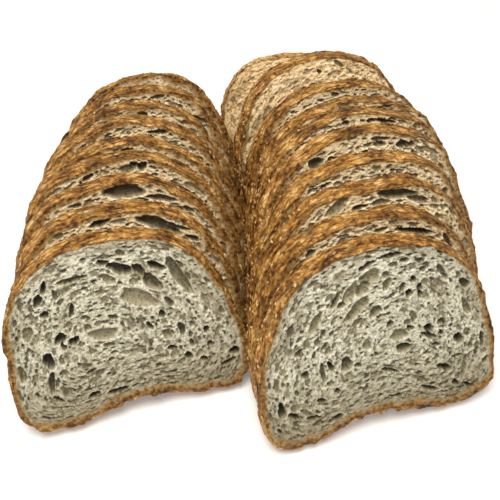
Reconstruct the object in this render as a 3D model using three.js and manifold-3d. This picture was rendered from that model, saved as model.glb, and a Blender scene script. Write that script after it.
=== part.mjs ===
// A whole wheat ciabatta loaf, cut across the middle, machine sliced, and set down as two half loaves
// side by side with their cut faces to the front. The slices of each half lean back on one another
// against the loaf's domed end. Every slice is a solid of its own, cut from the loaf's one section.
//
// Millimetres. +X is to the right of the cut faces, +Y runs back along the two rows, +Z is up.
// The origin is the middle of the loaf's footprint, on the surface that it stands on.

import * as THREE from "three";
import { mergeVertices } from "three/addons/utils/BufferGeometryUtils.js";
import Module from "manifold-3d";

const wasm = await Module();
wasm.setup();

// ---- Driving dimensions ----

const LOAF_WIDTH = 118;
const LOAF_HEIGHT = 99;
const SLICE_THICKNESS = 15.5;
const HEEL_THICKNESS = 24;
const SLICE_GAP = 0.5; // clear air left between neighbouring slices
const TABLE_FLAT = 0.9; // how far the crust's lowest edge is pressed flat where it stands

// How each half lies, front slice first. Wide and high are the slice's shares of the full section. The
// lean from upright, the yaw, and the roll in the slice's own plane are in degrees; the loose air in
// front of a slice and its place across the row in millimetres.
// The halves were opened like a book, so the right one has the section's mirror image.
const LEFT_HALF = {
  name: "left",
  mirrored: false,
  frontY: 3,
  wide: [1, 1, 1, 1, 0.99, 0.97, 0.93, 0.88, 0.87],
  high: [0.99, 0.98, 0.98, 0.97, 0.91, 0.9, 0.85, 0.8, 0.79],
  lean: [24.5, 24.5, 24.5, 24.5, 24.5, 24.5, 24.5, 24.5, 23.5],
  yaw: [12.7, 12.7, 12.7, 12.7, 12.7, 12.7, 12.7, 12.7, 12.7],
  roll: [0, 0.8, -0.6, 0.5, -0.8, 0.4, 1.5, 4, 5.5],
  air: [0, 0, 0, 0, 0, 0, 0, 0, 0],
  middleX: [-61.6, -61.6, -61, -61.4, -60.6, -60.2, -59.8, -58.8, -58],
};
const RIGHT_HALF = {
  name: "right",
  mirrored: true,
  frontY: -13,
  wide: [1.02, 1.03, 1.05, 1.06, 1.06, 1.05, 1.04, 1, 0.92, 0.78],
  high: [1.01, 0.99, 1, 0.99, 1, 0.98, 0.91, 0.87, 0.88, 0.66],
  lean: [24.5, 24.5, 24.5, 24.5, 24.5, 24.5, 24.5, 24.5, 20, 18],
  yaw: [12.7, 12.7, 12.7, 12.7, 12.7, 12.7, 12.7, 12.7, 12.7, -7],
  roll: [0, -0.7, 0.6, -0.4, 0.8, -0.6, -1, -3.5, -5, -13],
  air: [0, 0, 0, 0, 0, 0, 0, 0, 5, 0],
  middleX: [60.6, 59.6, 61.6, 62.6, 63.6, 64, 64, 60.3, 52.8, 32.5],
};

// ---- Small helpers ----

// A seeded run of numbers from 0 to 1, the same on every machine.
function seededRandom(seed) {
  let state = seed >>> 0;
  return () => {
    state = (state + 0x6d2b79f5) >>> 0;
    let t = state;
    t = Math.imul(t ^ (t >>> 15), t | 1);
    t ^= t + Math.imul(t ^ (t >>> 7), t | 61);
    return ((t ^ (t >>> 14)) >>> 0) / 4294967296;
  };
}

function bareAndMerged(geometry) {
  const bare = new THREE.BufferGeometry();
  bare.setAttribute("position", geometry.getAttribute("position"));
  if (geometry.index) bare.setIndex(geometry.index);
  return mergeVertices(bare, 1e-3);
}

function solidFrom(geometry) {
  const merged = bareAndMerged(geometry);
  const mesh = new wasm.Mesh({
    numProp: 3,
    vertProperties: new Float32Array(merged.attributes.position.array),
    triVerts: new Uint32Array(merged.index.array),
  });
  return new wasm.Manifold(mesh);
}

function geometryFrom(solid) {
  const mesh = solid.getMesh();
  const geometry = new THREE.BufferGeometry();
  const positions = new THREE.BufferAttribute(new Float32Array(mesh.vertProperties), 3);
  geometry.setAttribute("position", positions);
  geometry.setIndex(new THREE.BufferAttribute(new Uint32Array(mesh.triVerts), 1));
  geometry.computeVertexNormals();
  return geometry;
}

function radians(degrees) {
  return THREE.MathUtils.degToRad(degrees);
}

// ---- The loaf's section ----

const SECTION_POINTS = 44;
const SECTION_MIDDLE = 0.42 * LOAF_HEIGHT; // height of the point about which the section swells

// The cut section, steep sided at the foot, domed above and hollow underneath, as shares of half the
// width and of the height.
const SECTION = [
  [0.02, 0.09],
  [0.3, 0.055],
  [0.58, 0.012],
  [0.87, 0.0],
  [1.0, 0.085],
  [1.01, 0.28],
  [0.94, 0.5],
  [0.84, 0.67],
  [0.72, 0.8],
  [0.57, 0.89],
  [0.4, 0.955],
  [0.2, 0.99],
  [0.0, 1.0],
  [-0.2, 0.985],
  [-0.4, 0.955],
  [-0.57, 0.905],
  [-0.73, 0.82],
  [-0.86, 0.66],
  [-0.95, 0.46],
  [-1.0, 0.27],
  [-0.96, 0.08],
  [-0.8, 0.015],
  [-0.56, 0.0],
  [-0.3, 0.045],
];

// Long, low swells of the crust, which drift slowly from one slice to the next.
function swell(angle, index) {
  const slow = 0.012 * Math.sin(3 * angle + 0.5 * index);
  const quick = 0.008 * Math.sin(7 * angle - 0.9 * index + 1.3);
  return 1 + slow + quick;
}

function sectionOutline(half, index) {
  const wide = half.wide[index];
  const high = half.high[index];
  const knots = SECTION.map(([u, v]) => new THREE.Vector3((u * LOAF_WIDTH) / 2, v * LOAF_HEIGHT, 0));
  const curve = new THREE.CatmullRomCurve3(knots, true, "centripetal");
  const points = curve.getSpacedPoints(SECTION_POINTS).slice(0, SECTION_POINTS);
  const outline = points.map((p) => {
    const scale = swell(Math.atan2(p.y - SECTION_MIDDLE, p.x), index);
    const rise = SECTION_MIDDLE + (p.y - SECTION_MIDDLE) * scale;
    return new THREE.Vector2(p.x * scale * wide, rise * high);
  });
  if (!half.mirrored) return outline;
  return outline.map((p) => new THREE.Vector2(-p.x, p.y)).reverse();
}

// ---- The slice's body ----

const CRUST_STEPS = 2;
const CRUST_BULGE = 0.5;
const CRUST_CRAG = 0.6;
const HEEL_STEPS = 6;
const HEEL_TIP = 0.3; // size of the loaf's blunt tip, as a share of the section
const HEEL_MIDDLE = 0.34 * LOAF_HEIGHT; // height that the tip closes on

// The section drawn out to a slab: y runs from 0 at the front face to its thickness at the back.
function slab(outline, thickness, steps) {
  const shape = new THREE.Shape(outline);
  const options = { depth: thickness, steps, bevelEnabled: false };
  const geometry = new THREE.ExtrudeGeometry(shape, options);
  geometry.rotateX(Math.PI / 2).translate(0, thickness, 0);
  return bareAndMerged(geometry);
}

// Unevenness of the crust, from -1 to 1.
function crag(point, seed) {
  const a = Math.sin(0.83 * point.x + 1.31 * point.y + seed);
  const b = Math.sin(0.97 * point.z - 1.13 * point.y + 2.1 * seed);
  const c = Math.sin(0.61 * (point.x + point.z) + 1.7 * point.y - seed);
  return (a + b + c) / 3;
}

function moveEachPoint(geometry, move) {
  const position = geometry.attributes.position;
  const point = new THREE.Vector3();
  for (let i = 0; i < position.count; i += 1) {
    move(point.fromBufferAttribute(position, i));
    position.setXYZ(i, point.x, point.y, point.z);
  }
}

function roughen(geometry, thickness, seed) {
  moveEachPoint(geometry, (point) => {
    const outward = new THREE.Vector3(point.x, 0, point.z - SECTION_MIDDLE).normalize();
    const bulge = CRUST_BULGE * Math.sin((Math.PI * point.y) / thickness);
    point.addScaledVector(outward, bulge + CRUST_CRAG * crag(point, seed));
  });
}

// The loaf's end: the section shrinks to a blunt tip towards the back.
function dome(geometry, thickness) {
  moveEachPoint(geometry, (point) => {
    const depth = point.y / thickness;
    const round = HEEL_TIP + (1 - HEEL_TIP) * Math.sqrt(1 - Math.min(depth, 1) ** 2.6);
    point.x *= round;
    point.z = HEEL_MIDDLE + (point.z - HEEL_MIDDLE) * round;
  });
}

// ---- Pores of the crumb ----

// The large pores of the faces that show: place across and up as shares of half the slice's width and of
// its height, length, width and depth in millimetres, and the slope of the length in degrees.
const SHOWN_PORES = {
  left_slice_01: [
    [0.11, 0.84, 10, 6, 5, -16],
    [0.3, 0.77, 20.5, 4.4, 5, -58],
    [0.57, 0.72, 22, 4.8, 5, -60],
    [0.2, 0.67, 17, 8.4, 4, -35],
    [0, 0.81, 7, 4.7, 5, -30],
    [-0.28, 0.85, 13.5, 3, 3, 14],
    [-0.55, 0.77, 5.5, 4, 4, 65],
    [-0.49, 0.55, 5.5, 4.6, 5, 71],
    [-0.38, 0.51, 5, 4.6, 5, 67],
    [-0.17, 0.53, 14, 6.4, 3, -17],
    [-0.63, 0.43, 9.4, 5.4, 6, 76],
    [0.69, 0.38, 7, 3.6, 4, -76],
    [0.86, 0.22, 8, 4.6, 5, -44],
  ],
  left_slice_02: [
    [-0.05, 0.92, 13, 4.2, 6, -2],
    [0.4, 0.85, 17.5, 4.8, 6, -22],
  ],
  left_slice_03: [
    [0.12, 0.92, 19, 6, 6, -6],
    [0.41, 0.86, 12, 3.8, 4, -20],
  ],
  left_slice_04: [[0.27, 0.93, 7, 4.6, 5, -13]],
  left_slice_05: [[-0.31, 0.85, 6, 3.6, 4, 30]],
  left_slice_06: [[0.35, 0.89, 11, 2.8, 4, -14]],
  right_slice_01: [
    [-0.08, 0.8, 11.5, 9, 4, 73],
    [-0.07, 0.7, 13.5, 6.6, 5, 22],
    [-0.25, 0.79, 10, 4.8, 4, 45],
    [-0.5, 0.7, 9.5, 6, 3, 61],
    [0.3, 0.77, 8, 6, 5, -30],
    [0.55, 0.8, 9, 6.2, 5, 80],
    [0.42, 0.5, 7.2, 5.8, 7, -61],
    [0.5, 0.42, 6.4, 5, 6, -50],
    [0.18, 0.51, 9.2, 6.8, 5, -21],
    [0.67, 0.4, 8, 6.2, 5, -77],
    [-0.27, 0.41, 9, 5.8, 5, 87],
    [0.54, 0.25, 8.3, 4.8, 5, -36],
    [-0.41, 0.13, 9.2, 6.2, 5, -17],
  ],
  right_slice_02: [[0.4, 0.87, 14.5, 3.6, 6, -20]],
  right_slice_03: [
    [0.33, 0.9, 25, 4.4, 6, -17],
    [-0.18, 0.92, 12, 4.8, 4, 13],
  ],
  right_slice_05: [
    [-0.33, 0.87, 7.6, 6, 6, 28],
    [0.4, 0.86, 11.5, 4.2, 4, -22],
  ],
  right_slice_06: [[0.29, 0.91, 11.5, 3, 5, -18]],
  right_slice_07: [[-0.56, 0.83, 12.5, 5, 5, 40]],
  right_slice_08: [[0.45, 0.84, 10, 3, 4, -22]],
};
const HIDDEN_PORES = 3; // on each face that does not show
const HIDDEN_PORE_LENGTH = [7, 13];
const HIDDEN_PORE_DEPTH = 3;
const LONG_PORE = 16; // pores from this length on are finer faceted

function poreSolid(pore, half, index, faceY) {
  const [across, up, length, width, depth, slope] = pore;
  const halfWide = (half.wide[index] * LOAF_WIDTH) / 2;
  const geometry = new THREE.IcosahedronGeometry(1, length > LONG_PORE ? 1 : 0);
  geometry.scale(length / 2, depth, width / 2);
  geometry.rotateY(-radians(slope));
  geometry.translate(across * halfWide, faceY, up * half.high[index] * LOAF_HEIGHT);
  return solidFrom(geometry);
}

// A few pores on a hidden face, spread round the dome, where the crumb is openest.
function hiddenPores(random) {
  return Array.from({ length: HIDDEN_PORES }, (_, i) => {
    const turn = ((i + 0.2 + 0.6 * random()) / HIDDEN_PORES) * 140 + 20;
    const reach = 0.55 + 0.12 * random();
    const length = THREE.MathUtils.lerp(HIDDEN_PORE_LENGTH[0], HIDDEN_PORE_LENGTH[1], random());
    const across = reach * Math.cos(radians(turn));
    const up = 0.42 + 0.62 * reach * Math.sin(radians(turn));
    return [across, up, length, length * 0.42, HIDDEN_PORE_DEPTH, turn - 90];
  });
}

// ---- Seeds on the crust ----

const SEED_LENGTH = 3.2;
const SEED_WIDTH = 2;
const SEED_HEIGHT = 1.3;
const SEEDS_ON_A_SLICE = 7;
const HEEL_SEED_DEPTH = 12; // seeds stay on the heel's steep part, near its cut face
const GOLDEN_SHARE = 0.61803;

// Seeds pressed into the crust of the sides and the top, about half sunk, by the golden ratio.
function seedSolids(outline, thickness, random) {
  const sides = outline.map((_, i) => i).filter((i) => outline[i].y > 0.2 * LOAF_HEIGHT);
  return Array.from({ length: SEEDS_ON_A_SLICE }, (_, i) => {
    const share = (i * GOLDEN_SHARE + random() * 0.08) % 1;
    const at = sides[Math.floor(share * sides.length)];
    const here = outline[at];
    const next = outline[(at + 1) % outline.length];
    const tangent = new THREE.Vector2().subVectors(next, here).normalize();
    const depth = thickness * (0.28 + 0.44 * random());
    const seed = new THREE.IcosahedronGeometry(1, 0);
    seed.scale(SEED_WIDTH / 2, SEED_LENGTH / 2, SEED_HEIGHT);
    seed.rotateZ(radians(70) * (random() - 0.5));
    seed.rotateY(-Math.atan2(tangent.y, tangent.x));
    seed.translate((here.x + next.x) / 2, depth, (here.y + next.y) / 2);
    return solidFrom(seed);
  });
}

// ---- A finished slice in its place ----

const CRUMB_LOOK = { color: 0xb39a6e, roughness: 0.95, metalness: 0 };
const CRUST_LOOK = { color: 0x9a6428, roughness: 0.8, metalness: 0 };
const TABLE_SIZE = 600;

function makeSlice(half, index) {
  const last = half.lean.length - 1;
  const isHeel = index === last;
  const name = isHeel ? `${half.name}_heel` : `${half.name}_slice_${String(index + 1).padStart(2, "0")}`;
  const thickness = isHeel ? HEEL_THICKNESS : SLICE_THICKNESS;
  const random = seededRandom(1000 * last + index);
  const outline = sectionOutline(half, index);

  const body = slab(outline, thickness, isHeel ? HEEL_STEPS : CRUST_STEPS);
  roughen(body, thickness, index + last);
  if (isHeel) dome(body, thickness);
  let solid = solidFrom(body);

  const seedDepth = isHeel ? HEEL_SEED_DEPTH : thickness;
  for (const seed of seedSolids(outline, seedDepth, random)) solid = solid.add(seed);
  for (const pore of SHOWN_PORES[name] ?? hiddenPores(random)) {
    solid = solid.subtract(poreSolid(pore, half, index, 0));
  }
  if (!isHeel) {
    for (const pore of hiddenPores(random)) {
      solid = solid.subtract(poreSolid(pore, half, index, thickness));
    }
  }

  const look = new THREE.MeshStandardMaterial(isHeel ? CRUST_LOOK : CRUMB_LOOK);
  const mesh = new THREE.Mesh(geometryFrom(solid), look);
  mesh.name = name;
  mesh.rotation.set(
    -radians(half.lean[index]),
    radians(half.roll[index]),
    radians(half.yaw[index]),
    "ZXY",
  );
  return { mesh, solid };
}

// The table's top, as a solid in the slice's own frame, takes off what would stand below it.
function pressFlat(slice) {
  slice.mesh.updateMatrix();
  const table = new THREE.BoxGeometry(TABLE_SIZE, TABLE_SIZE, TABLE_SIZE);
  table.translate(0, 0, -TABLE_SIZE / 2).applyMatrix4(slice.mesh.matrix.clone().invert());
  slice.mesh.geometry = geometryFrom(slice.solid.subtract(solidFrom(table)));
}

function placedPoints(geometry, matrix) {
  const position = geometry.attributes.position;
  return Array.from({ length: position.count }, (_, i) =>
    new THREE.Vector3().fromBufferAttribute(position, i).applyMatrix4(matrix),
  );
}

// Stands each slice on the table and moves it forwards until it all but touches the slice before it.
function makeHalf(half) {
  const group = new THREE.Group();
  let before = null;
  half.lean.forEach((_, index) => {
    const slice = makeSlice(half, index);
    const mesh = slice.mesh;
    mesh.position.set(half.middleX[index], 0, 0);
    mesh.updateMatrix();
    const lowest = Math.min(...placedPoints(mesh.geometry, mesh.matrix).map((p) => p.z));
    mesh.position.z = -lowest - TABLE_FLAT;
    if (before) {
      const backwards = new THREE.Vector3(0, 1, 0).applyEuler(mesh.rotation);
      const reach = Math.max(...before.map((p) => p.dot(backwards))) + SLICE_GAP + half.air[index];
      mesh.position.y = (reach - mesh.position.dot(backwards)) / backwards.y;
    } else {
      mesh.position.y = half.frontY;
    }
    pressFlat(slice);
    mesh.updateMatrix();
    before = placedPoints(mesh.geometry, mesh.matrix);
    group.add(mesh);
  });
  return group;
}

// ---- The whole loaf ----

const loaf = new THREE.Group();
loaf.add(makeHalf(LEFT_HALF), makeHalf(RIGHT_HALF));
loaf.updateMatrixWorld(true);
const middle = new THREE.Box3().setFromObject(loaf, true).getCenter(new THREE.Vector3());
loaf.position.set(-middle.x, -middle.y, 0);

export default loaf;
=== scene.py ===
"""A seeded wholegrain loaf, cut across its middle and sliced, as its two halves stand side by side.

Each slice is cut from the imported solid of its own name: its cut face, its outline and its thickness are
read from that solid, and a finer body with open pores and a browned, cracked crust takes its place.
"""

import itertools
import math

import bmesh
import bpy
import numpy as np
from mathutils import Matrix, Vector


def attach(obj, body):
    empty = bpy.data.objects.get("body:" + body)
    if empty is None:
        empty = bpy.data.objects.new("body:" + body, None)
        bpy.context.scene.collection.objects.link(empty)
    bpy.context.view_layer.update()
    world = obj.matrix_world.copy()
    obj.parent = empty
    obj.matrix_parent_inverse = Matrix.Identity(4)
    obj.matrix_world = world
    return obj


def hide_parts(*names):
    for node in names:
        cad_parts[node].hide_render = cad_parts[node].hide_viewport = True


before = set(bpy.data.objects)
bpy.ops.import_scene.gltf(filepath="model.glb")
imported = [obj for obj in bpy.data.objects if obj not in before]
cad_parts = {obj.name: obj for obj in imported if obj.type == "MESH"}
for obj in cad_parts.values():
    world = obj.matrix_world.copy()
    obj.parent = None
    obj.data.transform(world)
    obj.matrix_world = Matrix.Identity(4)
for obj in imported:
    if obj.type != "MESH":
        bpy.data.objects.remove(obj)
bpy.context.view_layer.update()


# ---- The camera ----
# It stands in front of the cut faces, close to the loaf, and looks steeply down on both rows.

VIEW_DOWN = math.radians(51.0)
VIEW_ROLL = math.radians(-3.6)
VIEW_DISTANCE = 0.4046
VIEW_TARGET = Vector((-0.0011, -0.0205, 0.040))

forward = Vector((0, math.cos(VIEW_DOWN), -math.sin(VIEW_DOWN)))
level_right = Vector((1, 0, 0))
level_up = level_right.cross(forward)
right = math.cos(VIEW_ROLL) * level_right + math.sin(VIEW_ROLL) * level_up
up = math.cos(VIEW_ROLL) * level_up - math.sin(VIEW_ROLL) * level_right

camera_data = bpy.data.cameras.new("camera")
camera_data.lens = 54
camera_data.sensor_width = 36
camera_data.clip_start = 0.01
camera = bpy.data.objects.new("camera", camera_data)
bpy.context.collection.objects.link(camera)
turn = Matrix((right, up, -forward)).transposed().to_4x4()
camera.matrix_world = Matrix.Translation(VIEW_TARGET - forward * VIEW_DISTANCE) @ turn
bpy.context.scene.camera = camera


# ---- The floor and the light ----
# A plain white table. A large soft lamp hangs over the front of the loaf, a little to the left, so that
# the upper lips of the pores shade them, and a white room fills the shadows.

LAMP_PLACE = Vector((-0.052, -0.169, 0.78))
LAMP_SIZE = 0.46
LAMP_POWER = 6.1
ROOM_LIGHT = 0.46


def linear(hex_colour):
    """An sRGB hex colour as linear red, green, blue and alpha."""
    parts = [int(hex_colour[i : i + 2], 16) / 255 for i in (1, 3, 5)]
    return tuple(p / 12.92 if p <= 0.04045 else ((p + 0.055) / 1.055) ** 2.4 for p in parts) + (1.0,)


def add_node(tree, kind, settings=None, links=None):
    """Adds a node, with settings for its properties, ramp stops or unlinked inputs, and its linked inputs."""
    made = tree.nodes.new(kind)
    for name, value in (settings or {}).items():
        if name == "stops":
            ramp = made.color_ramp
            while len(ramp.elements) < len(value):
                ramp.elements.new(0.5)
            for element, (place, colour) in zip(ramp.elements, value):
                element.position = place
                element.color = linear(colour)
        elif isinstance(name, str) and hasattr(made, name):
            setattr(made, name, value)
        else:
            made.inputs[name].default_value = value
    for name, source in (links or {}).items():
        tree.links.new(source, made.inputs[name])
    return made


def new_material(name):
    """An empty node material and its shader and output."""
    material = bpy.data.materials.new(name)
    material.use_nodes = True
    tree = material.node_tree
    tree.nodes.clear()
    shader = add_node(tree, "ShaderNodeBsdfPrincipled")
    add_node(tree, "ShaderNodeOutputMaterial", links={"Surface": shader.outputs["BSDF"]})
    return material, tree, shader


# White laminate, matt: its faint mottling keeps it from looking like empty paper.
laminate, tree, shader = new_material("white_laminate")
shader.inputs["Roughness"].default_value = 0.6
shader.inputs["Emission Color"].default_value = linear("#fdfdff")
shader.inputs["Emission Strength"].default_value = 0.15
place = add_node(tree, "ShaderNodeTexCoord").outputs["Object"]
mottle = add_node(tree, "ShaderNodeTexNoise", {"Scale": 9.0, "Detail": 3.0}, {"Vector": place})
shade = add_node(
    tree,
    "ShaderNodeValToRGB",
    {"stops": [(0.3, "#f6f5f3"), (0.7, "#fbfaf8")]},
    {"Fac": mottle.outputs["Fac"]},
)
tree.links.new(shade.outputs["Color"], shader.inputs["Base Color"])

bpy.ops.object.select_all(action="DESELECT")
bpy.ops.mesh.primitive_plane_add(size=6, location=(0, 0, 0))
floor = bpy.context.object
floor.name = "floor"
floor.data.materials.append(laminate)

lamp_data = bpy.data.lights.new("lamp", "AREA")
lamp_data.shape = "DISK"
lamp_data.size = LAMP_SIZE
lamp_data.energy = LAMP_POWER
lamp_data.color = linear("#fff9ef")[:3]
lamp = bpy.data.objects.new("lamp", lamp_data)
bpy.context.collection.objects.link(lamp)
lamp.location = LAMP_PLACE
lamp.rotation_euler = (-LAMP_PLACE).to_track_quat("-Z", "Y").to_euler()

world = bpy.data.worlds.new("room")
bpy.context.scene.world = world
world.use_nodes = True
world.node_tree.nodes["Background"].inputs["Color"].default_value = linear("#fdfdff")
world.node_tree.nodes["Background"].inputs["Strength"].default_value = ROOM_LIGHT
bpy.context.scene.view_settings.view_transform = "Standard"


# ---- How each slice lies ----
# A slice is a slab between two cuts of the bread knife. Its front cut is the largest flat face of its
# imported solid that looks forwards: that gives its plane, its outline and, with the far side, its thickness.

MM = 0.001
OUTLINE_STEPS = 6  # points of the smooth outline for each one of the solid's


def outer_loop(edges):
    """The longest closed run of points along the given edges."""
    around = {}
    for edge in edges:
        a, b = edge.verts
        around.setdefault(a, []).append(b)
        around.setdefault(b, []).append(a)
    loops = []
    while around:
        here = next(iter(around))
        loop = []
        while here in around:
            loop.append(here.co.copy())
            ahead = around.pop(here)
            here = next((v for v in ahead if v in around), None)
        loops.append(loop)
    return max(loops, key=lambda loop: sum((a - b).length for a, b in zip(loop, loop[1:])))


def smooth_closed(knots, steps):
    """A smooth closed curve through the knots, with a number of steps from each to the next."""
    p0, p1 = np.roll(knots, 1, axis=0), knots
    p2, p3 = np.roll(knots, -1, axis=0), np.roll(knots, -2, axis=0)
    runs = []
    for t in np.arange(steps) / steps:
        bend = 2 * p0 - 5 * p1 + 4 * p2 - p3
        twist = 3 * p1 - p0 - 3 * p2 + p3
        runs.append(0.5 * (2 * p1 + (p2 - p0) * t + bend * t**2 + twist * t**3))
    return np.stack(runs, axis=1).reshape(-1, 2)


def read_cut(name):
    """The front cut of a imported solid: where it lies, its outline and its thickness, in millimetres."""
    solid = bmesh.new()
    solid.from_mesh(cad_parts[name].data)
    bmesh.ops.remove_doubles(solid, verts=solid.verts, dist=0.02 * MM)
    areas = {}
    for face in solid.faces:
        if face.normal.y < -0.5:
            key = tuple(round(c, 2) for c in face.normal)
            areas[key] = areas.get(key, 0) + face.calc_area()
    rough = Vector(max(areas, key=areas.get)).normalized()
    facing = [face for face in solid.faces if face.normal.dot(rough) > 0.999]
    normal = sum((face.normal * face.calc_area() for face in facing), Vector()).normalized()
    level = max(face.calc_center_median().dot(normal) for face in facing)
    flat = {f for f in facing if level - f.calc_center_median().dot(normal) < 0.1 * MM}
    rim = [e for e in solid.edges if sum(f in flat for f in e.link_faces) == 1]
    across = Vector((0, 0, 1)).cross(normal).normalized()
    upwards = normal.cross(across)
    knots = np.array([(p.dot(across), p.dot(upwards)) for p in outer_loop(rim)]) / MM
    middle = (knots[:, 0].min() + knots[:, 0].max()) / 2
    foot = knots[:, 1].min()
    deepest = max(level - vertex.co.dot(normal) for vertex in solid.verts)
    solid.free()
    knots -= (middle, foot)
    x, z = knots.T
    if np.sum(x * np.roll(z, -1) - z * np.roll(x, -1)) < 0:
        knots = knots[::-1]
    origin = across * middle * MM + upwards * foot * MM + normal * level
    place = Matrix((across * MM, -normal * MM, upwards * MM)).transposed().to_4x4()
    place.translation = origin
    return {
        "name": name,
        "place": place,
        "outline": smooth_closed(knots, OUTLINE_STEPS),
        "half_wide": knots[:, 0].max(),
        "high": knots[:, 1].max(),
        "thickness": deepest / MM,
    }


# ---- A slice's plain body ----
# Bread dough sets into one soft block with a dense skin. The outline is filled, drawn out to the slice's
# thickness, and turned into an even net of small faces that can carry pores and crags.

HEEL_RINGS = 10
HEEL_TIP = 0.3  # size of the loaf's blunt tip, as a share of the section
HEEL_MIDDLE = 33.7  # height that the tip closes on, in millimetres


def plain_body(cut, net, is_heel):
    """The slice as a closed net of faces of one size, in its own frame and in millimetres."""
    outline = cut["outline"]
    bpy.ops.object.select_all(action="DESELECT")
    bpy.ops.mesh.primitive_circle_add(vertices=len(outline), radius=1, fill_type="NGON")
    body = bpy.context.object
    body.name = cut["name"] + "_bread"
    for vertex, (x, z) in zip(body.data.vertices, outline):
        vertex.co = (x, 0, z)
    bpy.ops.object.mode_set(mode="EDIT")
    bpy.ops.mesh.select_all(action="SELECT")
    rings = HEEL_RINGS if is_heel else 1
    shares = [HEEL_TIP + (1 - HEEL_TIP) * math.sqrt(1 - (i / rings) ** 2.6) for i in range(rings + 1)]
    for before, after in zip(shares, shares[1:]):
        bpy.ops.mesh.extrude_region_move(
            TRANSFORM_OT_translate={"value": (0, cut["thickness"] / rings, 0)}
        )
        if is_heel:
            size = after / before
            bpy.ops.transform.resize(value=(size, 1, size), center_override=(0, 0, HEEL_MIDDLE))
    bpy.ops.mesh.select_all(action="SELECT")
    bpy.ops.mesh.normals_make_consistent(inside=False)
    bpy.ops.object.mode_set(mode="OBJECT")
    even = body.modifiers.new("even_net", "REMESH")
    even.mode = "VOXEL"
    even.voxel_size = net
    bpy.ops.object.modifier_apply(modifier=even.name)
    return body


def rows_of(flat_list, title, wide):
    """One value or triple for each point or face, as an array of rows."""
    flat = np.empty(wide * len(flat_list))
    flat_list.foreach_get(title, flat)
    return flat.reshape(-1, wide)


def rim_of(points, outline):
    """How far each point lies from the outline, how far along it, and which way is outwards there."""
    step = np.roll(outline, -1, axis=0) - outline
    length = np.linalg.norm(step, axis=1)
    run = np.concatenate([[0], np.cumsum(length)[:-1]])
    outward = np.stack([step[:, 1], -step[:, 0]], axis=1) / length[:, None]
    distance, along, side = [], [], []
    for chunk in np.array_split(points[:, [0, 2]], max(1, len(points) // 4000)):
        gap = chunk[:, None, :] - outline[None]
        share = np.clip((gap * step).sum(2) / length**2, 0, 1)
        apart = np.linalg.norm(gap - share[..., None] * step, axis=2)
        near = apart.argmin(axis=1)
        row = np.arange(len(chunk))
        distance.append(apart[row, near])
        along.append(run[near] + share[row, near] * length[near])
        side.append(outward[near])
    return np.concatenate(distance), np.concatenate(along), np.concatenate(side)


def refine(body, wanted, cuts):
    """Cuts each edge of the faces whose middles are wanted, and their faces with them."""
    mesh = body.data
    bpy.context.tool_settings.mesh_select_mode = (False, False, True)
    bpy.ops.object.mode_set(mode="EDIT")
    bpy.ops.mesh.select_all(action="DESELECT")
    bpy.ops.object.mode_set(mode="OBJECT")
    mesh.polygons.foreach_set("select", wanted(rows_of(mesh.polygons, "center", 3)))
    bpy.ops.object.mode_set(mode="EDIT")
    bpy.ops.mesh.subdivide(number_cuts=cuts)
    bpy.ops.object.mode_set(mode="OBJECT")


# ---- The crumb's pores ----
# Gas blown into the dough leaves open cells. They lie along rings round the dough's rolled-up middle,
# larger and longer under the dome, and pressed to thin streaks near the base and the crust.

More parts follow.
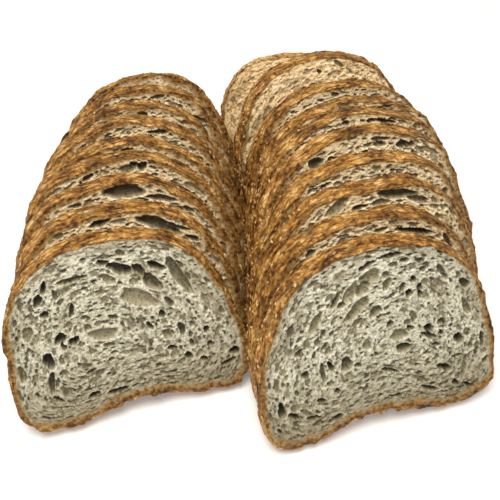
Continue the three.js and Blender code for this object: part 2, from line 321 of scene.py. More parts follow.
# The large pores of the cuts that show: place across and up as shares of half the slice's width and of its
# height, length, width and depth in millimetres, slope of the length in degrees, and darkness, which is
# painted shade inside the pore with a little of its dark skin.
SHOWN_PORES = {
    "left_slice_01": [
        (-0.01, 0.89, 5.5, 3, 4, -22, 0.6), (0.11, 0.84, 10.8, 5.6, 6, -30, 0.8),
        (0.25, 0.81, 7.5, 4.4, 5, -56, 0.6), (0.33, 0.73, 10.9, 5.8, 5, -62, 0.5),
        (0.39, 0.81, 8.3, 3.8, 6, -38, 1), (0.55, 0.73, 20.5, 5, 5, -68, 0.35),
        (0.2, 0.66, 18.8, 7.5, 4, -37, 0.1), (0, 0.8, 7.2, 4.2, 3, -43, 0.15),
        (-0.28, 0.84, 13.6, 2.7, 3, 4, 0.45), (0.14, 0.92, 4.8, 2.8, 2.5, -28, 0.3),
        (-0.5, 0.83, 6.4, 2.3, 5, 67, 0.9), (-0.57, 0.77, 6.2, 3.8, 5, 61, 0.9),
        (-0.55, 0.69, 3.8, 3.8, 4, -78, 0.8), (-0.43, 0.78, 5.2, 2.4, 3, -89, 0.5),
        (-0.34, 0.68, 6.6, 2.2, 4, 72, 0.8), (-0.49, 0.54, 6.6, 4.6, 6, 59, 1),
        (-0.39, 0.51, 5.3, 4.3, 6, 50, 1), (-0.48, 0.49, 4.4, 2.3, 5, -82, 0.8),
        (-0.15, 0.51, 12.3, 6.9, 3, -7, 0.15), (-0.13, 0.44, 5.7, 2.5, 2.5, -2, 0.3),
        (-0.63, 0.43, 8.9, 4.8, 7, 86, 1), (-0.66, 0.3, 14, 2.6, 4, 77, 0.75),
        (-0.65, 0.2, 6, 2.3, 4, -38, 0.8), (0.35, 0.54, 4.7, 2.7, 4, -78, 0.9),
        (0.23, 0.49, 4.6, 2.4, 4, -62, 0.7), (-0.04, 0.59, 4.8, 2.4, 3, -32, 0.5),
        (0.48, 0.43, 7.7, 3.1, 4, -80, 0.75), (0.36, 0.42, 5.4, 5, 3, -64, 0.2),
        (0.68, 0.39, 3.9, 2.8, 4, 62, 0.9), (0.37, 0.33, 4.4, 3.1, 5, -8, 1),
        (0.49, 0.26, 4.9, 3.3, 4, -48, 0.8), (0.61, 0.22, 3.6, 3, 4, -36, 0.5),
        (0.69, 0.3, 3.3, 2.9, 4, -56, 0.5), (0.88, 0.22, 4.9, 4.7, 6, -72, 1),
        (0.81, 0.16, 8.2, 3, 5, 13, 0.9), (0.54, 0.33, 4.7, 2.2, 3, -76, 0.5),
        (-0.36, 0.17, 7, 2.8, 4, 20, 0.8), (-0.16, 0.16, 9.5, 3.4, 4, 5, 0.8),
        (-0.33, 0.31, 5, 2.2, 3, 27, 0.5), (-0.72, 0.61, 8.6, 4, 2.5, 71, 0.3),
        (-0.86, 0.39, 10.2, 3.2, 3, 90, 0.4), (0.43, 0.6, 6.9, 2.6, 3, -63, 0.5),
    ],
    "right_slice_01": [
        (0.15, 0.94, 11.1, 2.1, 4, 0, 0.85), (-0.03, 0.92, 8, 1.9, 4, 18, 0.9),
        (-0.07, 0.91, 4.5, 2.5, 3, 4, 0.7), (-0.02, 0.86, 10.8, 5.6, 3, 11, 0.15),
        (-0.08, 0.81, 8.4, 5.4, 4, 61, 0.25), (-0.18, 0.8, 11.3, 5, 3, 59, 0.2),
        (-0.3, 0.78, 9.4, 2.3, 4, 55, 0.6), (-0.26, 0.75, 4.1, 3.2, 4, 53, 0.5),
        (-0.14, 0.71, 13.8, 5.7, 4, 42, 0.15), (0, 0.67, 6.6, 4.8, 4, 54, 0.35),
        (-0.48, 0.69, 12.5, 3.5, 3, 57, 0.2), (0.11, 0.8, 5.9, 3.9, 3, 50, 0.25),
        (0.26, 0.9, 4.9, 2.4, 3, -19, 0.5), (0.38, 0.88, 4.1, 2.7, 3, -26, 0.5),
        (0.4, 0.83, 3.7, 2.6, 3, -28, 0.4), (0.28, 0.72, 4.2, 3.7, 6, 72, 1),
        (0.32, 0.79, 3.5, 2.8, 5, -51, 1), (0.23, 0.76, 5.1, 2.6, 4, 59, 0.6),
        (0.37, 0.74, 4.1, 2.7, 5, 83, 1), (0.37, 0.7, 3.4, 2.6, 5, -82, 0.9),
        (0.56, 0.79, 10.3, 2.6, 3, -67, 0.5), (0.75, 0.57, 10.8, 2.9, 3, -73, 0.3),
        (0.43, 0.5, 5.3, 4.2, 8, -51, 1), (0.54, 0.52, 4.6, 3.6, 4, -49, 0.4),
        (0.53, 0.46, 3.2, 2.4, 5, -45, 1), (0.48, 0.4, 4, 2.4, 5, -26, 1),
        (0.43, 0.46, 9.3, 2.4, 5, -37, 0.8), (0.27, 0.53, 4.3, 2.9, 4, -30, 0.6),
        (0.18, 0.51, 8.7, 5.5, 3, -20, 0.2), (0.21, 0.43, 8, 4.7, 5, -15, 0.6),
        (0.11, 0.58, 4.2, 3.1, 4, 84, 0.6), (0.68, 0.4, 6, 4.6, 6, -69, 0.8),
        (0.88, 0.36, 8.5, 1.9, 4, -85, 0.8), (0.72, 0.22, 14.9, 2.2, 3, 80, 0.3),
        (0.55, 0.25, 8, 3.8, 6, -39, 0.8), (0.66, 0.3, 5.1, 2.2, 3, -3, 0.5),
        (-0.27, 0.42, 8.4, 5, 5, 84, 0.5), (-0.4, 0.43, 6.2, 2.4, 5, -68, 0.9),
        (-0.43, 0.55, 4.9, 2.6, 3, 59, 0.4), (-0.43, 0.62, 4.9, 2.5, 3, 58, 0.4),
        (-0.61, 0.42, 4.3, 3.8, 4, 59, 0.6), (-0.47, 0.41, 10.6, 2.5, 3, -86, 0.5),
        (-0.64, 0.55, 5.7, 2.4, 3, 45, 0.5), (-0.37, 0.28, 3.4, 2.7, 5, -55, 0.9),
        (-0.51, 0.25, 5.4, 2.4, 4, -33, 0.7), (-0.84, 0.25, 9.8, 3.2, 6, -85, 1),
        (-0.75, 0.2, 5.7, 3.1, 4, -47, 0.7), (-0.59, 0.16, 7, 2.7, 3, -8, 0.6),
        (-0.41, 0.12, 7.8, 3.3, 5, 16, 0.9), (0.08, 0.32, 8.8, 1.5, 3, -26, 0.7),
        (0.41, 0.15, 9.3, 1.8, 4, -27, 0.9), (0.12, 0.16, 7.3, 1.7, 3, -10, 0.7),
        (0.64, 0.14, 5.3, 2.2, 4, -55, 0.8), (0.76, 0.1, 7.6, 1.5, 4, -37, 0.7),
        (0.91, 0.23, 4.4, 3.1, 3, 53, 0.6), (-0.09, 0.5, 6.1, 4, 2.5, 87, 0.2),
        (-0.18, 0.4, 3.6, 2.6, 3, -33, 0.5), (0.74, 0.7, 7.1, 3.7, 3, -58, 0.7),
    ],
    "left_slice_02": [
        (-0.04, 0.96, 9.4, 3.4, 6, 11, 0.8), (0.41, 0.88, 19.9, 6.1, 6, -33, 0.85),
        (0.68, 0.77, 6.2, 2.7, 4, -41, 0.8), (0.63, 0.88, 12.9, 1.7, 3, -22, 0.9),
        (0.53, 0.87, 5, 2.4, 4, -36, 0.7),
    ],
    "left_slice_03": [
        (0.12, 0.96, 19.4, 7.2, 6, -8, 0.9), (0.42, 0.87, 14, 3.2, 4, -20, 0.6),
        (-0.23, 0.89, 5.7, 2.5, 4, -3, 0.6), (-0.29, 0.93, 5.7, 2.1, 3, -1, 0.4),
        (0.63, 0.78, 6.3, 1.9, 3, -36, 0.5),
    ],
    "left_slice_04": [
        (0.28, 0.96, 4.7, 4.6, 5, -56, 1), (0.22, 0.99, 4.4, 3.6, 5, -13, 0.9),
        (-0.21, 0.94, 6.1, 2.7, 4, 28, 0.8), (0.14, 0.94, 9, 4.2, 3, -7, 0.4),
    ],
    "left_slice_05": [
        (0.1, 0.96, 6.2, 2.2, 3, -8, 0.9),
    ],
    "left_slice_06": [
        (0.37, 0.92, 12, 2, 4, -14, 0.9), (0.24, 0.88, 6.5, 2.9, 3, -12, 0.7),
    ],
    "left_slice_07": [
        (0.19, 0.95, 5.6, 2, 3, -15, 0.8),
    ],
    "left_slice_08": [
        (0.31, 0.93, 8.1, 1.6, 3, 2, 0.6), (0.83, 0.72, 12.3, 2.9, 4, -33, 0.4),
    ],
    "right_slice_02": [
        (-0.05, 0.92, 5.6, 2.7, 6, 4, 1), (0.43, 0.89, 17.7, 3.2, 7, -19, 1),
        (0.21, 0.79, 14.7, 2.8, 4, -3, 0.6), (-0.5, 0.96, 5.5, 3.1, 4, 43, 0.7),
        (0.15, 0.94, 6.7, 1.9, 3, -3, 0.5), (0.71, 0.8, 10.5, 1.7, 3, -66, 0.8),
    ],
    "right_slice_03": [
        (0.3, 0.95, 21.1, 5, 6, -17, 0.7), (0.47, 0.89, 12.2, 3.3, 4, -27, 0.4),
        (-0.18, 0.95, 13.1, 5.4, 4, 31, 0.3), (-0.01, 0.92, 8.7, 2.3, 4, 5, 0.8),
        (0.16, 0.92, 9.1, 3.5, 3, -9, 0.3),
    ],
    "right_slice_04": [
        (-0.26, 0.93, 5.8, 2.2, 4, 23, 0.9),
    ],
    "right_slice_05": [
        (-0.33, 0.89, 7.4, 6, 6, 36, 0.7), (0.21, 0.92, 6.4, 2.8, 4, -4, 0.6),
        (0.41, 0.89, 8, 3.5, 5, -21, 0.8), (0.48, 0.88, 4.7, 3, 4, -31, 0.6),
        (0.22, 0.96, 9.7, 1.3, 3, -8, 0.6),
    ],
    "right_slice_06": [
        (-0.45, 0.94, 5.1, 2.9, 5, 52, 0.9), (-0.04, 0.97, 3.8, 2.6, 4, 1, 0.9),
        (0.32, 0.95, 10.3, 2.1, 4, -19, 0.8), (0.19, 0.95, 5.5, 2.2, 4, -5, 0.6),
    ],
    "right_slice_07": [
        (-0.56, 0.96, 12.7, 4.5, 6, 20, 0.75), (0.31, 1, 10.6, 2.4, 4, -19, 0.6),
        (-0.7, 1.05, 4.2, 2.4, 3, 56, 0.9), (0.58, 0.89, 13.6, 1.5, 3, -28, 0.6),
    ],
    "right_slice_08": [
        (-0.04, 1.04, 4.6, 2.4, 3, -17, 0.6),
    ],
    "right_slice_09": [
        (-0.01, 0.92, 3, 2.2, 3, -58, 1), (0.21, 0.95, 7.6, 1.5, 2, -44, 0.4),
    ],
}
SWIRL_ACROSS = 0.14  # middle of the rolled dough, as shares of half the width and of the height
SWIRL_UP = 0.52
# The foam's layers: spacing of the cells in millimetres, share of them that is open, greatest depth in
# millimetres, least and greatest darkness, which is painted shade inside the cells with a little of their
# dark skin.
FOAM = [
    (4.4, 0.42, 1.8, 0.1, 0.6),
    (2.5, 0.55, 1.4, 0.2, 1.0),
    (1.45, 0.5, 0.7, 0.4, 1.0),
]
WALL_AT = 1.2  # where a pore's wall stands, and how wide it is, as shares of the pore's reach
WALL_WIDE = 0.25
WALL_HIGH = 0.35  # how far it stands out, in millimetres
SHARED_WALL = 0.22  # width of the wall between large pores that meet, as a share of their reach
SHARED_WALL_FILLS = 0.8  # share of their depth and darkness that it takes up
FAR_OFF = 9.0  # as a share of a pore's reach
PORE_SPREAD = 1.08  # how much wider a large pore is at its soft lip
LEAST_PORE_WIDTH = 2.3
NEAREST_TO_CRUST = 0.91  # share of the way out that the middle of a large pore keeps within


def ring_frame(points, cut, mirrored):
    """Angle round the rolled middle of the dough, the share of the way out to the crust, and that middle."""
    centre = np.array([SWIRL_ACROSS * cut["half_wide"] * (1 if mirrored else -1), SWIRL_UP * cut["high"]])
    spokes = cut["outline"] - centre
    angles = np.arctan2(spokes[:, 1], spokes[:, 0])
    order = np.argsort(angles)
    reach = np.linalg.norm(spokes, axis=1)[order]
    gap = points - centre
    angle = np.arctan2(gap[:, 1], gap[:, 0])
    crust = np.interp(angle, angles[order], reach, period=2 * math.pi)
    return angle, np.linalg.norm(gap, axis=1) / crust, centre


def ring_slope(points, cut, mirrored):
    """Slope of the ring through each point, as an angle."""
    share = ring_frame(points, cut, mirrored)[1]
    ahead = ring_frame(points + (0.5, 0), cut, mirrored)[1] - share
    above = ring_frame(points + (0, 0.5), cut, mirrored)[1] - share
    return np.arctan2(-ahead, above)


def cell_draws(cells, seed, count):
    """Random numbers from 0 to 1 for the cells of a lattice, always the same for one cell and seed."""
    key = np.full(len(cells), seed * 26544357, np.int64)
    for column, prime in zip(cells.T, (73856093, 19349663, 83492791)):
        key ^= column * prime
    draws = []
    for _ in range(count):
        key = (key ^ key >> 13) * 1274126177 & 0xFFFFFFFF
        key ^= key >> 16
        draws.append((key & 0xFFFF) / 65535)
    return draws


def lattice_noise(points, seed):
    """Smooth noise from -1 to 1 at points given in steps of its lattice."""
    cell = np.floor(points).astype(np.int64)
    part = points - cell
    part = part * part * (3 - 2 * part)
    total = np.zeros(len(points))
    for corner in itertools.product((0, 1), repeat=points.shape[1]):
        weight = np.prod(np.where(corner, part, 1 - part), axis=1)
        total += weight * (2 * cell_draws(cell + corner, seed, 1)[0] - 1)
    return total


def soft(values):
    """An even rise from 0 to 1, with soft ends."""
    held = np.clip(values, 0, 1)
    return held * held * (3 - 2 * held)


def foam(points, lie, pressed, layer, seed):
    """Depth and painted shade of one layer of oval cells, one in each square of a lattice, and their walls.
    """
    pitch, open_share, deepest, least_dark, most_dark = layer
    sway = [lattice_noise(points / (0.6 * pitch), seed + 50 + k) for k in (0, 1)]
    swayed = points + 0.14 * pitch * np.stack(sway, axis=1)
    home = np.floor(swayed / pitch).astype(np.int64)
    depth, dark, wall = np.zeros((3, len(points)))
    for step in itertools.product((-1, 0, 1), repeat=2):
        cell = home + step
        jog_x, jog_z, size, stretch, deep, lot, dim = cell_draws(cell, seed, 7)
        gap = swayed - pitch * (cell + 0.15 + 0.7 * np.stack([jog_x, jog_z], axis=1))
        half_wide = pitch * (0.24 + 0.24 * size**1.5) * (1 - 0.4 * pressed)
        half_long = np.minimum(half_wide * (1.15 + 0.9 * stretch + 1.4 * pressed), 0.95 * pitch)
        a = (gap[:, 0] * np.cos(lie) + gap[:, 1] * np.sin(lie)) / half_long
        b = (gap[:, 1] * np.cos(lie) - gap[:, 0] * np.sin(lie)) / half_wide
        reach = np.hypot(a, b)
        is_open = lot < open_share
        bowl = deepest * (0.4 + 0.6 * deep) * soft((1.1 - reach) / 0.55) * is_open
        ahead = bowl > depth
        depth = np.where(ahead, bowl, depth)
        dark = np.where(ahead, least_dark + (most_dark - least_dark) * dim**1.6, dark)
        wall = np.maximum(wall, soft(1 - np.abs(reach - WALL_AT) / WALL_WIDE) * is_open)
    return depth, dark, wall


def carve(points, cut, mirrored, random):
    """Depth and painted shade of a cut's large pores, how clear of them each point is, 0 to 1, and their
    walls.
    """
    depth, dark, wall = np.zeros((3, len(points)))
    clear = np.ones(len(points))
    nearest, next_nearest = np.full((2, len(points)), FAR_OFF)
    for across, upwards, length, width, deep, slope, darkness in SHOWN_PORES.get(cut["name"], []):
        phases = random.uniform(0, 2 * math.pi, 4)
        slope = math.radians(slope)
        length, width = PORE_SPREAD * length, PORE_SPREAD * max(width, LEAST_PORE_WIDTH)
        middle = np.array([[across * cut["half_wide"], upwards * cut["high"]]])
        _, share, centre = ring_frame(middle, cut, mirrored)
        middle = centre + (middle[0] - centre) * min(1, NEAREST_TO_CRUST / share[0])
        gap = points - middle
        near = np.flatnonzero(np.abs(gap).max(axis=1) < 0.75 * max(length, width))
        if len(near) == 0:
            continue
        gap = gap[near]
        a = (gap[:, 0] * math.cos(slope) + gap[:, 1] * math.sin(slope)) / (length / 2)
        b = (gap[:, 1] * math.cos(slope) - gap[:, 0] * math.sin(slope)) / (width / 2)
        turn = np.arctan2(b, a)
        edge = 1.03 + 0.09 * np.sin(2 * turn + phases[0]) + 0.09 * np.sin(3 * turn + phases[1])
        edge += 0.05 * np.sin(5 * turn + phases[2]) + 0.04 * np.sin(9 * turn + phases[3])
        share = np.hypot(a, b) / edge
        bowl = deep * soft((1.05 - share) / 0.3) * (0.75 + 0.25 * np.clip(1 - share**2, 0, 1))
        depth[near] = np.maximum(depth[near], bowl)
        dark[near] = np.maximum(dark[near], soft((1 - share) / 0.25) * darkness)
        clear[near] = np.minimum(clear[near], np.clip((share - 1.05) / 0.35, 0, 1))
        wall[near] = np.maximum(wall[near], soft(1 - np.abs(share - WALL_AT) / WALL_WIDE))
        next_nearest[near] = np.minimum(next_nearest[near], np.maximum(nearest[near], share))
        nearest[near] = np.minimum(nearest[near], share)
    between = soft(1 - (next_nearest - nearest) / SHARED_WALL) * (next_nearest < WALL_AT)
    depth *= 1 - SHARED_WALL_FILLS * between
    dark *= 1 - SHARED_WALL_FILLS * between
    return depth, dark, clear, np.maximum(wall, between)


# ---- The crust's relief ----
# The skin dries and browns in the oven. It swells between long low folds, cracks into flakes that lie
# along the loaf's rings, and here and there a blister has burst and shows the crumb below.

CRUST_ON_TOP = 0.9  # thickness in millimetres
CRUST_AT_SIDE = 2.8
CRUST_LOW_DOWN = 3.4
CRUST_BELOW = 5.2
PITS_ON_A_SLICE = 34
SWELL = 0.3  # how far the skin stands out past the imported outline, in millimetres
BASE_RELIEF = 0.7  # how much stronger the relief is on the base
SKIN_FADE = 2.5  # how far in from the skin its relief fades out, in millimetres
FRONT_EDGE = 0.3  # how far the skin draws in where the knife went in, and where it left, in millimetres
BACK_EDGE = 1.0
EDGE_FADE = 1.1  # how far from the knife's plane that fades out
FRONT_RAG = 0.7  # how far the ragged edge of the cut wanders, in front and at the back, in millimetres
BACK_RAG = 0.9
RAG_FADE = 2.0  # how far in from the skin that fades out


def crust_relief(around, along, depth, lap, seed, random):
    """How far the crust stands out, and how deep its pits are, in millimetres.

    Around is the place round the loaf as a ring of points, along the same as a run of millimetres, lap the
    length of that run, and depth the distance behind the front cut.
    """
    fold = lattice_noise(np.column_stack([around / 15, depth / 14 + seed]), 5)
    crag = lattice_noise(np.column_stack([around / 5, depth / 4 + seed]), 6)
    flake = lattice_noise(np.column_stack([around / 6, depth / 2.1 + seed]), 7)
    grain = lattice_noise(np.column_stack([around / 1.9, depth / 1.3 + seed]), 8)
    relief = 0.6 * fold + 0.8 * crag + 0.9 * (0.4 - abs(flake)) + 0.4 * grain
    pit = np.zeros(len(depth))
    for _ in range(PITS_ON_A_SLICE):
        place, back, size, deep = random.uniform((0, 1, 0.8, 0.6), (lap, 15, 2.8, 1.9))
        apart = abs(along - place)
        apart = np.minimum(apart, lap - apart) / (1.6 * size)
        pit = np.maximum(pit, deep * soft((1.1 - np.hypot(apart, (depth - back) / (0.75 * size))) / 0.5))
    return relief - pit, pit


# ---- Bread ----
# Baked wheat dough with bran and cracked grain. The crumb is matt and grey-beige. On the slices behind the
# front ones, most of all at the heel, it is painted creamier and lighter as painted warm light, and its pores
# carry painted shade. The crust is dried and browned dough, from straw to burnt umber, with a slight
# egg-shell gloss.

bread, tree, shader = new_material("wholegrain_bread")
shader.inputs["IOR"].default_value = 1.45
shader.inputs["Specular IOR Level"].default_value = 0.25
place = add_node(tree, "ShaderNodeTexCoord").outputs["Object"]
rind, hollow, gloom, dense, warm = (
    add_node(tree, "ShaderNodeAttribute", {"attribute_name": title}).outputs["Fac"]
    for title in ("rind", "hollow", "gloom", "dense", "warm")
)
flow = add_node(tree, "ShaderNodeAttribute", {"attribute_name": "flow"}).outputs["Vector"]

# The crumb: a sponge of walls about 1 mm apart, drawn out along the rings.
spongy = add_node(tree, "ShaderNodeMapping", {"Scale": (1 / 2.4, 1 / 2.4, 1 / 1.0)}, {"Vector": flow})
sponge = add_node(
    tree,
    "ShaderNodeTexNoise",
    {"Scale": 1.0, "Detail": 5.0, "Roughness": 0.62},
    {"Vector": spongy.outputs["Vector"]},
)
grey_crumb = add_node(
    tree,
    "ShaderNodeValToRGB",
    {"stops": [(0.32, "#918c74"), (0.45, "#beb9a1"), (0.56, "#dbd6c1"), (0.68, "#efebd9")]},
    {"Fac": sponge.outputs["Fac"]},
)
# A lighter, cream copy of the crumb's colour, mixed in on the slices behind the front ones as painted warm
# light.
lit_cream_crumb = add_node(
    tree,
    "ShaderNodeValToRGB",
    {"stops": [(0.32, "#b48d5a"), (0.45, "#f0cd95"), (0.56, "#fee4b5"), (0.68, "#fff3d6")]},
    {"Fac": sponge.outputs["Fac"]},
)
crumb_tone = add_node(
    tree,
    "ShaderNodeMix",
    {"data_type": "RGBA"},
    {0: warm, 6: grey_crumb.outputs["Color"], 7: lit_cream_crumb.outputs["Color"]},
)

# Darker arcs along the rings, about 18 mm long and 4 mm wide, and the dense crumb by the crust and base.
arcs = add_node(tree, "ShaderNodeMapping", {"Scale": (1 / 18, 1 / 18, 1 / 4.5)}, {"Vector": flow})
patchy = add_node(
    tree,
    "ShaderNodeTexNoise",
    {"Scale": 1.0, "Detail": 2.0, "Roughness": 0.5},
    {"Vector": arcs.outputs["Vector"]},
)
patch_shade = add_node(
    tree,
    "ShaderNodeMapRange",
    {"From Min": 0.52, "From Max": 0.7, "To Max": 0.6},
    {"Value": patchy.outputs["Fac"]},
)
shadiness = add_node(
    tree,
    "ShaderNodeMath",
    {"operation": "MAXIMUM"},
    {0: dense, 1: patch_shade.outputs["Result"]},
)
denser = add_node(
    tree,
    "ShaderNodeMix",
    {"data_type": "RGBA", "blend_type": "MULTIPLY", 7: linear("#998a69")},
    {0: shadiness.outputs[0], 6: crumb_tone.outputs[2]},
)

# The pores: a painted highlight on their raised walls, and painted shade inside them that deepens unevenly
# with depth, with a little of the dark skin of the cells.
pore_depth = add_node(
    tree,
    "ShaderNodeMapRange",
    {"From Min": 0.3, "From Max": 0.7, "To Min": 0.28, "To Max": -0.28},
    {"Value": sponge.outputs["Fac"]},
)
uneven_pore_shade = add_node(
    tree,
    "ShaderNodeMath",
    {"operation": "ADD"},
    {0: gloom, 1: pore_depth.outputs["Result"]},
)
pore_shade_colour = add_node(
    tree,
    "ShaderNodeValToRGB",
    {"stops": [(0.0, "#a1987a"), (0.35, "#70664c"), (0.7, "#3c3225"), (1.0, "#1f170e")]},
    {"Fac": uneven_pore_shade.outputs[0]},
)
painted_wall_highlight = add_node(
    tree,
    "ShaderNodeMapRange",
    {"From Min": -0.03, "From Max": -0.33, "To Max": 0.8},
    {"Value": hollow},
)
walled = add_node(
    tree,
    "ShaderNodeMix",
    {"data_type": "RGBA", "blend_type": "SCREEN", 7: linear("#7d7a68")},
    {0: painted_wall_highlight.outputs["Result"], 6: denser.outputs[2]},
)
deepness = add_node(
    tree,
    "ShaderNodeMapRange",
    {"interpolation_type": "SMOOTHSTEP", "From Min": 0.12, "From Max": 1.1, "To Max": 0.85},
    {"Value": hollow},
)
in_pore = add_node(
    tree,
    "ShaderNodeMix",
    {"data_type": "RGBA"},
    {0: deepness.outputs["Result"], 6: walled.outputs[2], 7: pore_shade_colour.outputs["Color"]},
)

# Bran: flecks of about 1 mm, spread unevenly.
bran_spots = add_node(
    tree,
    "ShaderNodeTexNoise",
    {"Scale": 1000 / 1.7, "Detail": 2.0, "Roughness": 0.55},
    {"Vector": place},
)
bran_mask = add_node(
    tree,
    "ShaderNodeMapRange",
    {"interpolation_type": "SMOOTHSTEP", "From Min": 0.6, "From Max": 0.67, "To Max": 0.8},
    {"Value": bran_spots.outputs["Fac"]},
)
flecked = add_node(
    tree,
    "ShaderNodeMix",
    {"data_type": "RGBA", 7: linear("#5a4f3c")},
    {0: bran_mask.outputs["Result"], 6: in_pore.outputs[2]},
)

# The crust: streaks about 2 mm wide and 8 mm long round the loaf, grain of 2 mm, blotches of 10 mm that
# brown unevenly, dark cracks between flakes of 5 by 2 mm, and grey where a blister has burst.
streaky = add_node(tree, "ShaderNodeMapping", {"Scale": (1 / 8, 1 / 8, 1 / 1.7)}, {"Vector": flow})
streak = add_node(
    tree,
    "ShaderNodeTexNoise",
    {"Scale": 1.0, "Detail": 5.0, "Roughness": 0.64},
    {"Vector": streaky.outputs["Vector"]},
)
blotch = add_node(
    tree,
    "ShaderNodeTexNoise",
    {"Scale": 1000 / 10, "Detail": 3.0, "Roughness": 0.6},
    {"Vector": place},
)
grain = add_node(
    tree,
    "ShaderNodeTexNoise",
    {"Scale": 1000 / 2.2, "Detail": 3.0, "Roughness": 0.6},
    {"Vector": place},
)
streak_and_grain = add_node(
    tree,
    "ShaderNodeMix",
    {"data_type": "FLOAT", 0: 0.4},
    {2: streak.outputs["Fac"], 3: grain.outputs["Fac"]},
)
browning = add_node(
    tree,
    "ShaderNodeMix",
    {"data_type": "FLOAT", 0: 0.35},
    {2: streak_and_grain.outputs[0], 3: blotch.outputs["Fac"]},
)
# The heel's crust is a little paler: this is keyed to the painted warm light, which is full only on the heel.
paler = add_node(
    tree,
    "ShaderNodeMapRange",
    {"From Min": 0.92, "From Max": 1.0, "To Max": 0.05},
    {"Value": warm},
)
bake = add_node(
    tree,
    "ShaderNodeMath",
    {"operation": "ADD"},
    {0: browning.outputs[0], 1: paler.outputs["Result"]},
)
crust_tone = add_node(
    tree,
    "ShaderNodeValToRGB",
    {
        "stops": [
            (0.388, "#26170a"),
            (0.436, "#5b3916"),
            (0.492, "#9c6b2e"),
            (0.55, "#c8954c"),
            (0.612, "#e4bf86"),
        ]
    },
    {"Fac": bake.outputs[0]},
)
cracked = add_node(
    tree,
    "ShaderNodeMapping",
    {"Scale": (1 / 5.5, 1 / 5.5, 1 / 2.4)},
    {"Vector": flow},
)
cracks = add_node(
    tree,
    "ShaderNodeTexVoronoi",
    {"feature": "DISTANCE_TO_EDGE", "Scale": 1.0},
    {"Vector": cracked.outputs["Vector"]},
)
crack_mask = add_node(
    tree,
    "ShaderNodeMapRange",
    {
        "interpolation_type": "SMOOTHSTEP",
        "From Min": 0.02,
        "From Max": 0.14,
        "To Min": 0.55,
        "To Max": 0.0,
    },
    {"Value": cracks.outputs["Distance"]},
)
crazed = add_node(
    tree,
    "ShaderNodeMix",
    {"data_type": "RGBA", 7: linear("#3a240f")},
    {0: crack_mask.outputs["Result"], 6: crust_tone.outputs["Color"]},
)
burst = add_node(
    tree,
    "ShaderNodeMapRange",
    {"interpolation_type": "SMOOTHSTEP", "From Min": 0.45, "From Max": 1.0, "To Max": 0.85},
    {"Value": hollow},
)
blistered = add_node(
    tree,
    "ShaderNodeMix",
    {"data_type": "RGBA", 7: linear("#6b5d45")},
    {0: burst.outputs["Result"], 6: crazed.outputs[2]},
)

# The cut edge of the crust: umber at the skin, tan where it meets the crumb. Rind is the distance in from
# the skin as a share of the crust's thickness. Blotches and grain make its inner side wander, and grain
# speckles its colour.
blotch_and_grain = add_node(
    tree,
    "ShaderNodeMix",
    {"data_type": "FLOAT", 0: 0.35},
    {2: blotch.outputs["Fac"], 3: grain.outputs["Fac"]},
)
wander = add_node(
    tree,
    "ShaderNodeMapRange",
    {"From Min": 0.35, "From Max": 0.65, "To Min": -0.35, "To Max": 0.35},
    {"Value": blotch_and_grain.outputs[0]},
)
inwards = add_node(
    tree,
    "ShaderNodeMath",
    {"operation": "ADD"},
    {0: rind, 1: wander.outputs["Result"]},
)
speckle = add_node(
    tree,
    "ShaderNodeMapRange",
    {"From Min": 0.35, "From Max": 0.65, "To Min": -0.45, "To Max": 0.45},
    {"Value": grain.outputs["Fac"]},
)
speckled_in = add_node(
    tree,
    "ShaderNodeMath",
    {"operation": "ADD"},
    {0: rind, 1: speckle.outputs["Result"]},
)
edge_tone = add_node(
    tree,
    "ShaderNodeValToRGB",
    {"stops": [(0.0, "#332310"), (0.35, "#6a4923"), (0.75, "#967241"), (1.0, "#99855b")]},
    {"Fac": speckled_in.outputs[0]},
)
on_edge = add_node(
    tree,
    "ShaderNodeMapRange",
    {"interpolation_type": "SMOOTHSTEP", "From Min": 0.05, "From Max": 0.35, "To Max": 0.8},
    {"Value": rind},
)
skin_or_edge = add_node(
    tree,
    "ShaderNodeMix",
    {"data_type": "RGBA"},
    {0: on_edge.outputs["Result"], 6: blistered.outputs[2], 7: edge_tone.outputs["Color"]},
)
is_crumb = add_node(
    tree,
    "ShaderNodeMapRange",
    {"interpolation_type": "SMOOTHSTEP", "From Min": 0.8, "From Max": 1.25},
    {"Value": inwards.outputs[0]},
)
colour = add_node(
    tree,
    "ShaderNodeMix",
    {"data_type": "RGBA"},
    {0: is_crumb.outputs["Result"], 6: skin_or_edge.outputs[2], 7: flecked.outputs[2]},
)
tree.links.new(colour.outputs[2], shader.inputs["Base Color"])
mattness = add_node(
    tree,
    "ShaderNodeMapRange",
    {"To Min": 0.6, "To Max": 0.92},
    {"Value": is_crumb.outputs["Result"]},
)
tree.links.new(mattness.outputs["Result"], shader.inputs["Roughness"])

# Relief too fine for the mesh: the sponge on the crumb, the flakes on the crust.
fine = add_node(
    tree,
    "ShaderNodeTexNoise",
    {"Scale": 1000 / 0.9, "Detail": 3.0, "Roughness": 0.6},
    {"Vector": place},
)
fine_or_streak = add_node(
    tree,
    "ShaderNodeMix",
    {"data_type": "FLOAT"},
    {0: is_crumb.outputs["Result"], 2: streak_and_grain.outputs[0], 3: sponge.outputs["Fac"]},
)
both = add_node(
    tree,
    "ShaderNodeMix",
    {"data_type": "FLOAT", 0: 0.35},
    {2: fine_or_streak.outputs[0], 3: fine.outputs["Fac"]},
)
bump_strength = add_node(
    tree,
    "ShaderNodeMapRange",
    {"To Min": 1.0, "To Max": 0.35},
    {"Value": is_crumb.outputs["Result"]},
)
bump = add_node(
    tree,
    "ShaderNodeBump",
    {"Distance": 1.0 * MM},
    {"Strength": bump_strength.outputs["Result"], "Height": both.outputs[0]},
)
tree.links.new(bump.outputs["Normal"], shader.inputs["Normal"])


# ---- The slices and heels ----
# Each slice keeps its packed place. The front slices show their whole cut, so their net is finest;
# behind them only the crumb near the crust shows, and the cut is covered by the slice in front.

